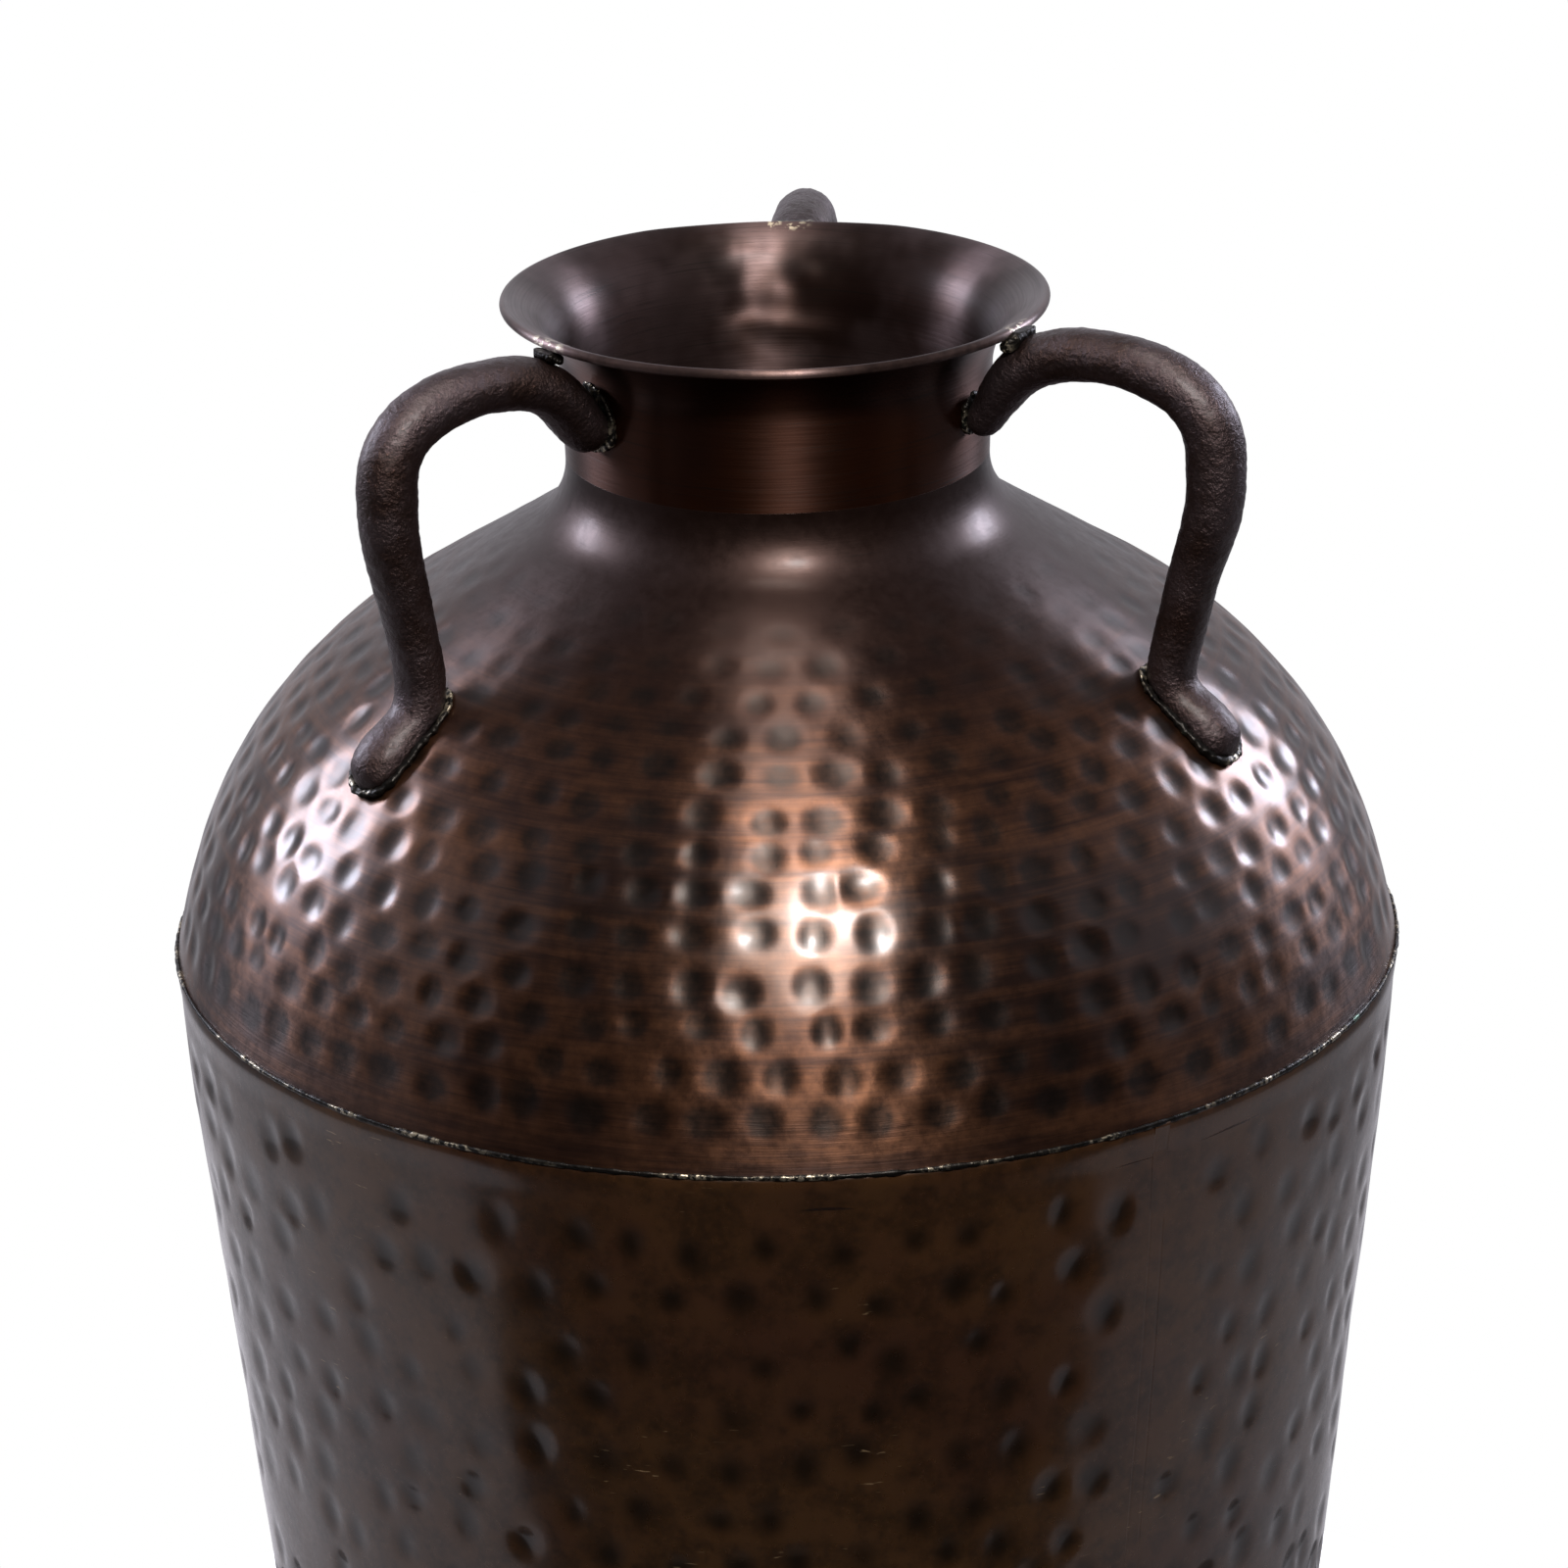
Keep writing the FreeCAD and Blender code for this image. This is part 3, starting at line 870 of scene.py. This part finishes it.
@cache
def beaten_body_copper():
    """Beaten copper sheet, with a thicker olive-brown patina than the shoulder has.

    Little copper shows; dark blotches and short pale scratches lie over it, and lacquer
    gives it soft grey reflections.
    """
    finish = bpy.context.scene.urn_finish
    blotch, mottle, pore, scratch, patch = 70 * MM, 14 * MM, 2.5 * MM, 1 * MM, 35 * MM
    olive_range = (0.3, 0.6)
    mottle_range, speckle_range = (0.4, 0.62), (0.3, 0.7, 0.25, 0.65)
    scratch_range, patch_range = (0.68, 0.73), (0.58, 0.66, 0.0, 0.7)
    scratch_stretch_share = 0.13
    dark_share = 0.9
    rough_range = (0.25, 0.75, 0.26, 0.36)
    material, tree, place = start_material("beaten_body_copper")
    hollow = add(tree, "Attribute", output="Fac", attribute_name="hollow")
    x, y, z = add(tree, "SeparateXYZ", [place], None)
    slow = [add(tree, "Math", (part, scratch_stretch_share), **TIMES) for part in (x, y)]
    flat = add(tree, "CombineXYZ", (*slow, z))
    drift, mottled, fine, scratches, patches = [
        add(tree, "TexNoise", dict(zip(NOISE, values))) for values in (
            (place, 1 / blotch, 4.0, 0.6), (place, 1 / mottle, 4.0, 0.7),
            (place, 1 / pore, 4.0, 0.65), (flat, 1 / scratch, 2.0, 0.6),
            (place, 1 / patch, 1.0, 0.5))]
    colour = finish.umber
    for share, over in (
            (shown(tree, (drift, olive_range)), finish.olive),
            (shown(tree, (mottled, mottle_range), (fine, speckle_range)), finish.smudge),
            (add(tree, "Math", (hollow, dark_share), **TIMES), finish.smudge),
            (shown(tree, (scratches, scratch_range), (patches, patch_range)), finish.scratch)):
        colour = add(tree, "Mix", {SHARE: share, FIRST: colour, SECOND: over}, RESULT, **COLOURS)
    inputs = {
        "Base Color": colour, "Metallic": 0.3, "Roughness": shown(tree, (fine, rough_range)),
        "Specular IOR Level": 0.3, "Coat Weight": 0.7, "Coat Roughness": 0.12,
    }
    finish_material(tree, inputs, fine, 0.03)
    return material


@cache
def spun_neck_copper():
    """Spun copper with a warm brown patina; its turning lines draw highlights upright.

    The lines are drawn 0.8 mm apart, coarser than real ones, so that they show. The inside
    is pinker, the rolled lip is paler, partly from rubbing and partly as a painted highlight,
    and braze is spattered where the handles meet it.
    """
    finish = bpy.context.scene.urn_finish
    blotch, pore, line, spatter = 35 * MM, 3 * MM, 0.8 * MM, 2.2 * MM
    line_stretch = 40
    warm_range = (0.25, 0.8, 0.3, 0.9)
    pink_range = (0.35, 0.65)
    scored_range = (0.55, 0.75, 0.0, 0.6)
    rubbed_range = (0.3, 0.7, 0.1, 0.5)
    weld_range, spatter_range = (0.3, 0.8), (0.5, 0.6)
    rough_range = (0.3, 0.7, 0.35, 0.43)
    material, tree, place = start_material("spun_neck_copper")
    inside, rolled, weld = [
        add(tree, "Attribute", output="Fac", attribute_name=name)
        for name in ("inside", "rolled", "weld")]
    drift, fine, lines, spatters = [
        add(tree, "TexNoise", dict(zip(NOISE, values))) for values in (
            (place, 1 / blotch, 3.0, 0.6), (place, 1 / pore, 4.0, 0.65),
            (turning_place(tree, place, line_stretch, 1), 1 / line, 3.0, 0.6),
            (place, 1 / spatter, 3.0, 0.6))]
    warm, pink = [
        add(tree, "Mix", {
            SHARE: shown(tree, (drift, limits)), FIRST: finish.patina, SECOND: over,
        }, RESULT, **COLOURS)
        for limits, over in ((warm_range, finish.neck), (pink_range, finish.funnel))]
    # The paler tone on the rolled lip: partly rubbing, partly a painted highlight standing in for its
    # bright line.
    rubbed = add(tree, "Math", (rolled, shown(tree, (fine, rubbed_range))), **TIMES)
    colour = warm
    for share, over in (
            (inside, pink), (shown(tree, (lines, scored_range)), finish.hollow),
            (rubbed, finish.lip),
            (shown(tree, (weld, weld_range), (spatters, spatter_range)), finish.braze)):
        colour = add(tree, "Mix", {SHARE: share, FIRST: colour, SECOND: over}, RESULT, **COLOURS)
    inputs = {
        "Base Color": colour, "Metallic": 0.85, "Roughness": shown(tree, (lines, rough_range)),
        "Anisotropic": 0.92, "Anisotropic Rotation": 0.25,
        "Tangent": add(tree, "Tangent", direction_type="RADIAL", axis="Z"),
        "Coat Weight": 0.1, "Coat Roughness": 0.3,
    }
    finish_material(tree, inputs, lines, 0.06)
    return material


@cache
def cast_handle_bronze():
    """Sand-cast bronze, nearly black, with a pitted grain that catches small highlights."""
    finish = bpy.context.scene.urn_finish
    blotch, grit = 18 * MM, 1.1 * MM
    brown_range = (0.35, 0.7)
    rubbed_range = (0.62, 0.75, 0.0, 0.35)
    rough_range = (0.3, 0.7, 0.5, 0.34)
    material, tree, place = start_material("cast_handle_bronze")
    drift, grain = [
        add(tree, "TexNoise", dict(zip(NOISE, values)))
        for values in ((place, 1 / blotch, 3.0, 0.6), (place, 1 / grit, 4.0, 0.6))]
    colour = finish.casting
    for value, limits, over in (
            (drift, brown_range, finish.patina), (grain, rubbed_range, finish.copper)):
        share = shown(tree, (value, limits))
        colour = add(tree, "Mix", {SHARE: share, FIRST: colour, SECOND: over}, RESULT, **COLOURS)
    inputs = {
        "Base Color": colour, "Metallic": 0.85, "Roughness": shown(tree, (grain, rough_range)),
        "Coat Weight": 0.3, "Coat Roughness": 0.38,
    }
    finish_material(tree, inputs, grain, 0.6)
    return material


@cache
def braze_metal():
    """Braze metal left rough: bright silvery flecks, dark flux and a little verdigris."""
    finish = bpy.context.scene.urn_finish
    lump, patch, bloom = 1.6 * MM, 16 * MM, 22 * MM
    lump_range, patch_range = (0.46, 0.6), (0.47, 0.62)
    bloom_range = (0.62, 0.7, 0.0, 0.8)
    rough_range = (0.4, 0.7, 0.45, 0.28)
    material, tree, place = start_material("braze_metal")
    lumps, patches, blooms = [
        add(tree, "TexNoise", dict(zip(NOISE, values))) for values in (
            (place, 1 / lump, 3.0, 0.6), (place, 1 / patch, 2.0, 0.5),
            (place, 1 / bloom, 3.0, 0.6))]
    colour = finish.hollow
    for share, over in (
            (shown(tree, (lumps, lump_range), (patches, patch_range)), finish.braze),
            (shown(tree, (blooms, bloom_range)), finish.verdigris)):
        colour = add(tree, "Mix", {SHARE: share, FIRST: colour, SECOND: over}, RESULT, **COLOURS)
    inputs = {
        "Base Color": colour, "Metallic": 0.8, "Roughness": shown(tree, (lumps, rough_range)),
    }
    finish_material(tree, inputs, lumps, 0.3)
    return material


# Stage


def make_floor():
    """A round pale floor, brightened for the camera alone and dark in reflections."""
    radius = 420 * MM
    corners = 96
    glow = 0.45
    mesh = bpy.data.meshes.new("floor")
    rim = [(radius * math.cos(a), radius * math.sin(a), 0) for a in round_angles(corners)]
    mesh.from_pydata(rim, [], [list(range(corners))])
    new_object("floor", mesh)
    material, tree, _ = start_material("pale_floor")
    paths = add(tree, "LightPath", output=None)
    colour = add(tree, "Mix", {
        SHARE: paths["Is Glossy Ray"], FIRST: to_linear("e8e8e8"), SECOND: to_linear("2c2c2c"),
    }, RESULT, **COLOURS)
    matt = add(tree, "BsdfPrincipled", {"Base Color": colour, "Roughness": 0.9})
    light = add(tree, "Emission", {"Color": to_linear("ffffff"), "Strength": glow})
    lit = add(tree, "AddShader", (matt, light))
    surface = add(tree, "MixShader", (paths["Is Camera Ray"], matt, lit))
    add(tree, "OutputMaterial", {"Surface": surface}, None)
    mesh.materials.append(material)


def make_world():
    """A world that is white to the camera and a dim studio to everything else.

    Of the directions that a reflection looks in, those well down in front are brightest,
    those up in front and those that graze the back are dimmer, and the rest are dark.
    """
    front_range = (-0.45, -0.34, 0.02, 1.0)
    down_range = (-0.46, -0.405, 0.62, 0.16)
    left_range = (-0.2, 0.4, 1.0, 0.6)
    up_range = (0.05, 0.3, 0.0, 0.5)
    overhead_range = (0.55, 0.9, 1.0, 0.08)
    back_range = (0.7, 0.95, 0.0, 0.5)
    strength_range = (0.0, 1.0, 0.5, 1.0)
    world = bpy.data.worlds.new("studio")
    bpy.context.scene.world = world
    world.use_nodes = True
    tree = world.node_tree
    tree.nodes.clear()
    direction = add(tree, "TexCoord", output="Generated")
    x, y, z = add(tree, "SeparateXYZ", [direction], None)
    low = shown(tree, (z, down_range), (x, left_range))
    high = shown(tree, (z, up_range), (z, overhead_range))
    back = shown(tree, (y, back_range))
    level = add(tree, "Math", (add(tree, "Math", (low, high), **PLUS), back), **PLUS)
    level = add(tree, "Math", (shown(tree, (y, front_range)), level), **TIMES)
    paths = add(tree, "LightPath", output=None)
    mirrored = add(
        tree, "Math", (paths["Is Glossy Ray"], paths["Is Transmission Ray"]), operation="MAXIMUM")
    level = add(tree, "Math", (level, shown(tree, (mirrored, strength_range))), **TIMES)
    level = add(tree, "Math", (level, paths["Is Camera Ray"]), operation="MAXIMUM")
    tint = add(tree, "Mix", {
        SHARE: mirrored, FIRST: to_linear("ffffff"), SECOND: to_linear("efecf5"),
    }, RESULT, **COLOURS)
    sky = add(tree, "Background", {"Color": tint, "Strength": level})
    add(tree, "OutputWorld", {"Surface": sky}, None)


# The five lamps: azimuth and rise in degrees, width and height in metres, power in watts and
# colour. They aim at the middle of the girth seam's plane from one distance, in metres.
LAMP_DISTANCE = 1.5
LAMPS = (
    ("front_box", -86, 46, 0.5, 0.9, 14.0, "fff4ea"),
    ("key_lamp", -81, 48, 0.18, 0.18, 12.0, "ffffff"),
    ("top_box", -90, 80, 0.35, 0.7, 7.0, "fff4ea"),
    ("left_box", 157, 24, 0.5, 0.7, 21.0, "e3e7fa"),
    ("right_box", 32, 22, 0.45, 0.6, 17.0, "e3e7fa"),
)


def make_lamps():
    """Soft oval lamps: two in front, one above and one on each side."""
    aim = Vector((0, 0, bpy.context.scene.urn_vessel.seam_height))
    for name, azimuth, rise, width, height, power, tint in LAMPS:
        lamp = bpy.data.lights.new(name, "AREA")
        lamp.shape = "ELLIPSE"
        lamp.size = width
        lamp.size_y = height
        lamp.energy = power
        lamp.color = to_linear(tint)[:3]
        holder = new_object(name, lamp)
        round_by, up_by = math.radians(azimuth), math.radians(rise)
        holder.location = aim + LAMP_DISTANCE * Vector((
            math.cos(round_by) * math.cos(up_by), math.sin(round_by) * math.cos(up_by),
            math.sin(up_by)))
        holder.rotation_euler = (aim - holder.location).to_track_quat("-Z", "Y").to_euler()


def make_camera():
    """The camera at the photograph's place: above the mouth, looking down and a little rolled."""
    photo_width_pixels = 1600
    focal_length_pixels = 5500
    place = Vector((0, -1.479, 1.034))
    down = math.radians(21.26)
    roll = math.radians(-1.1)
    data = bpy.data.cameras.new("camera")
    data.sensor_width = 36.0
    data.lens = focal_length_pixels / photo_width_pixels * data.sensor_width
    camera = new_object("camera", data)
    turn = Euler((QUARTER - down, 0, 0)).to_matrix() @ Matrix.Rotation(roll, 3, "Z")
    camera.matrix_world = Matrix.Translation(place) @ turn.to_4x4()
    bpy.context.scene.camera = camera


# Operators


class URN_OT_stage(bpy.types.Operator):
    """Set up the camera, the floor, the world and the lamps"""
    bl_idname = "urn.stage"
    bl_label = "Stage"

    def execute(self, context):
        make_camera()
        make_floor()
        make_world()
        make_lamps()
        context.scene.view_settings.view_transform = "Standard"
        return {"FINISHED"}


class URN_OT_shoulder(bpy.types.Operator):
    """Beat the shoulder"""
    bl_idname = "urn.shoulder"
    bl_label = "Shoulder"

    def execute(self, context):
        make_shoulder()
        return {"FINISHED"}


class URN_OT_body(bpy.types.Operator):
    """Beat the body and file its side seam"""
    bl_idname = "urn.body"
    bl_label = "Body"

    def execute(self, context):
        make_body()
        make_side_seam()
        return {"FINISHED"}


class URN_OT_neck(bpy.types.Operator):
    """Spin the neck and its lip"""
    bl_idname = "urn.neck"
    bl_label = "Neck"

    def execute(self, context):
        make_collar()
        return {"FINISHED"}


class URN_OT_handles(bpy.types.Operator):
    """Cast the three handles"""
    bl_idname = "urn.handles"
    bl_label = "Handles"

    def execute(self, context):
        for side, seed in zip(SIDES, (20, 23, 26)):
            make_handle(side, seed)
        return {"FINISHED"}


class URN_OT_braze(bpy.types.Operator):
    """Run the beads of braze"""
    bl_idname = "urn.braze"
    bl_label = "Braze"

    def execute(self, context):
        make_girth_seam()
        for side, neck_seed, foot_seed in zip(SIDES, (40, 42, 44), (50, 52, 54)):
            make_bead(side + "_neck_bead", side + "_handle_neck_braze", neck_seed)
            make_bead(side + "_foot_bead", side + "_handle_foot_braze", foot_seed)
        return {"FINISHED"}


class URN_OT_plain(bpy.types.Operator):
    """Give the solids that stay as they are their finish"""
    bl_idname = "urn.plain"
    bl_label = "Base, wire and inner braze"

    def execute(self, context):
        finishes = {
            "base_pan": beaten_body_copper, "lip_wire": braze_metal,
            "neck_joint_braze": spun_neck_copper, "base_joint_braze": braze_metal,
        }
        for node, make in finishes.items():
            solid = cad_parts[node]
            solid.data.materials.clear()
            solid.data.materials.append(make())
        return {"FINISHED"}


class URN_PT_panel(bpy.types.Panel):
    """Lists the steps that dress the vase, its sizes and its colours"""
    bl_idname = "URN_PT_panel"
    bl_label = "Urn vase"
    bl_space_type = "VIEW_3D"
    bl_region_type = "UI"
    bl_category = "Urn vase"

    def draw(self, context):
        for step_class in STEPS:
            self.layout.operator(step_class.bl_idname)
        for group in (context.scene.urn_vessel, context.scene.urn_hammer, context.scene.urn_finish):
            for name in group.__annotations__:
                self.layout.prop(group, name)


STEPS = (
    URN_OT_stage, URN_OT_shoulder, URN_OT_body, URN_OT_neck, URN_OT_handles, URN_OT_braze,
    URN_OT_plain,
)
CLASSES = (VesselSizes, HammerSizes, FinishColours) + STEPS + (URN_PT_panel,)


def register():
    for item in CLASSES:
        bpy.utils.register_class(item)
    bpy.types.Scene.urn_vessel = bpy.props.PointerProperty(type=VesselSizes)
    bpy.types.Scene.urn_hammer = bpy.props.PointerProperty(type=HammerSizes)
    bpy.types.Scene.urn_finish = bpy.props.PointerProperty(type=FinishColours)


def unregister():
    for name in ("urn_finish", "urn_hammer", "urn_vessel"):
        delattr(bpy.types.Scene, name)
    for item in reversed(CLASSES):
        bpy.utils.unregister_class(item)


def main():
    """Dresses the vase from its stage to its last bead."""
    register()
    bpy.ops.urn.stage()
    bpy.ops.urn.shoulder()
    bpy.ops.urn.body()
    bpy.ops.urn.neck()
    bpy.ops.urn.handles()
    bpy.ops.urn.braze()
    bpy.ops.urn.plain()


if __name__ == "__main__":
    main()
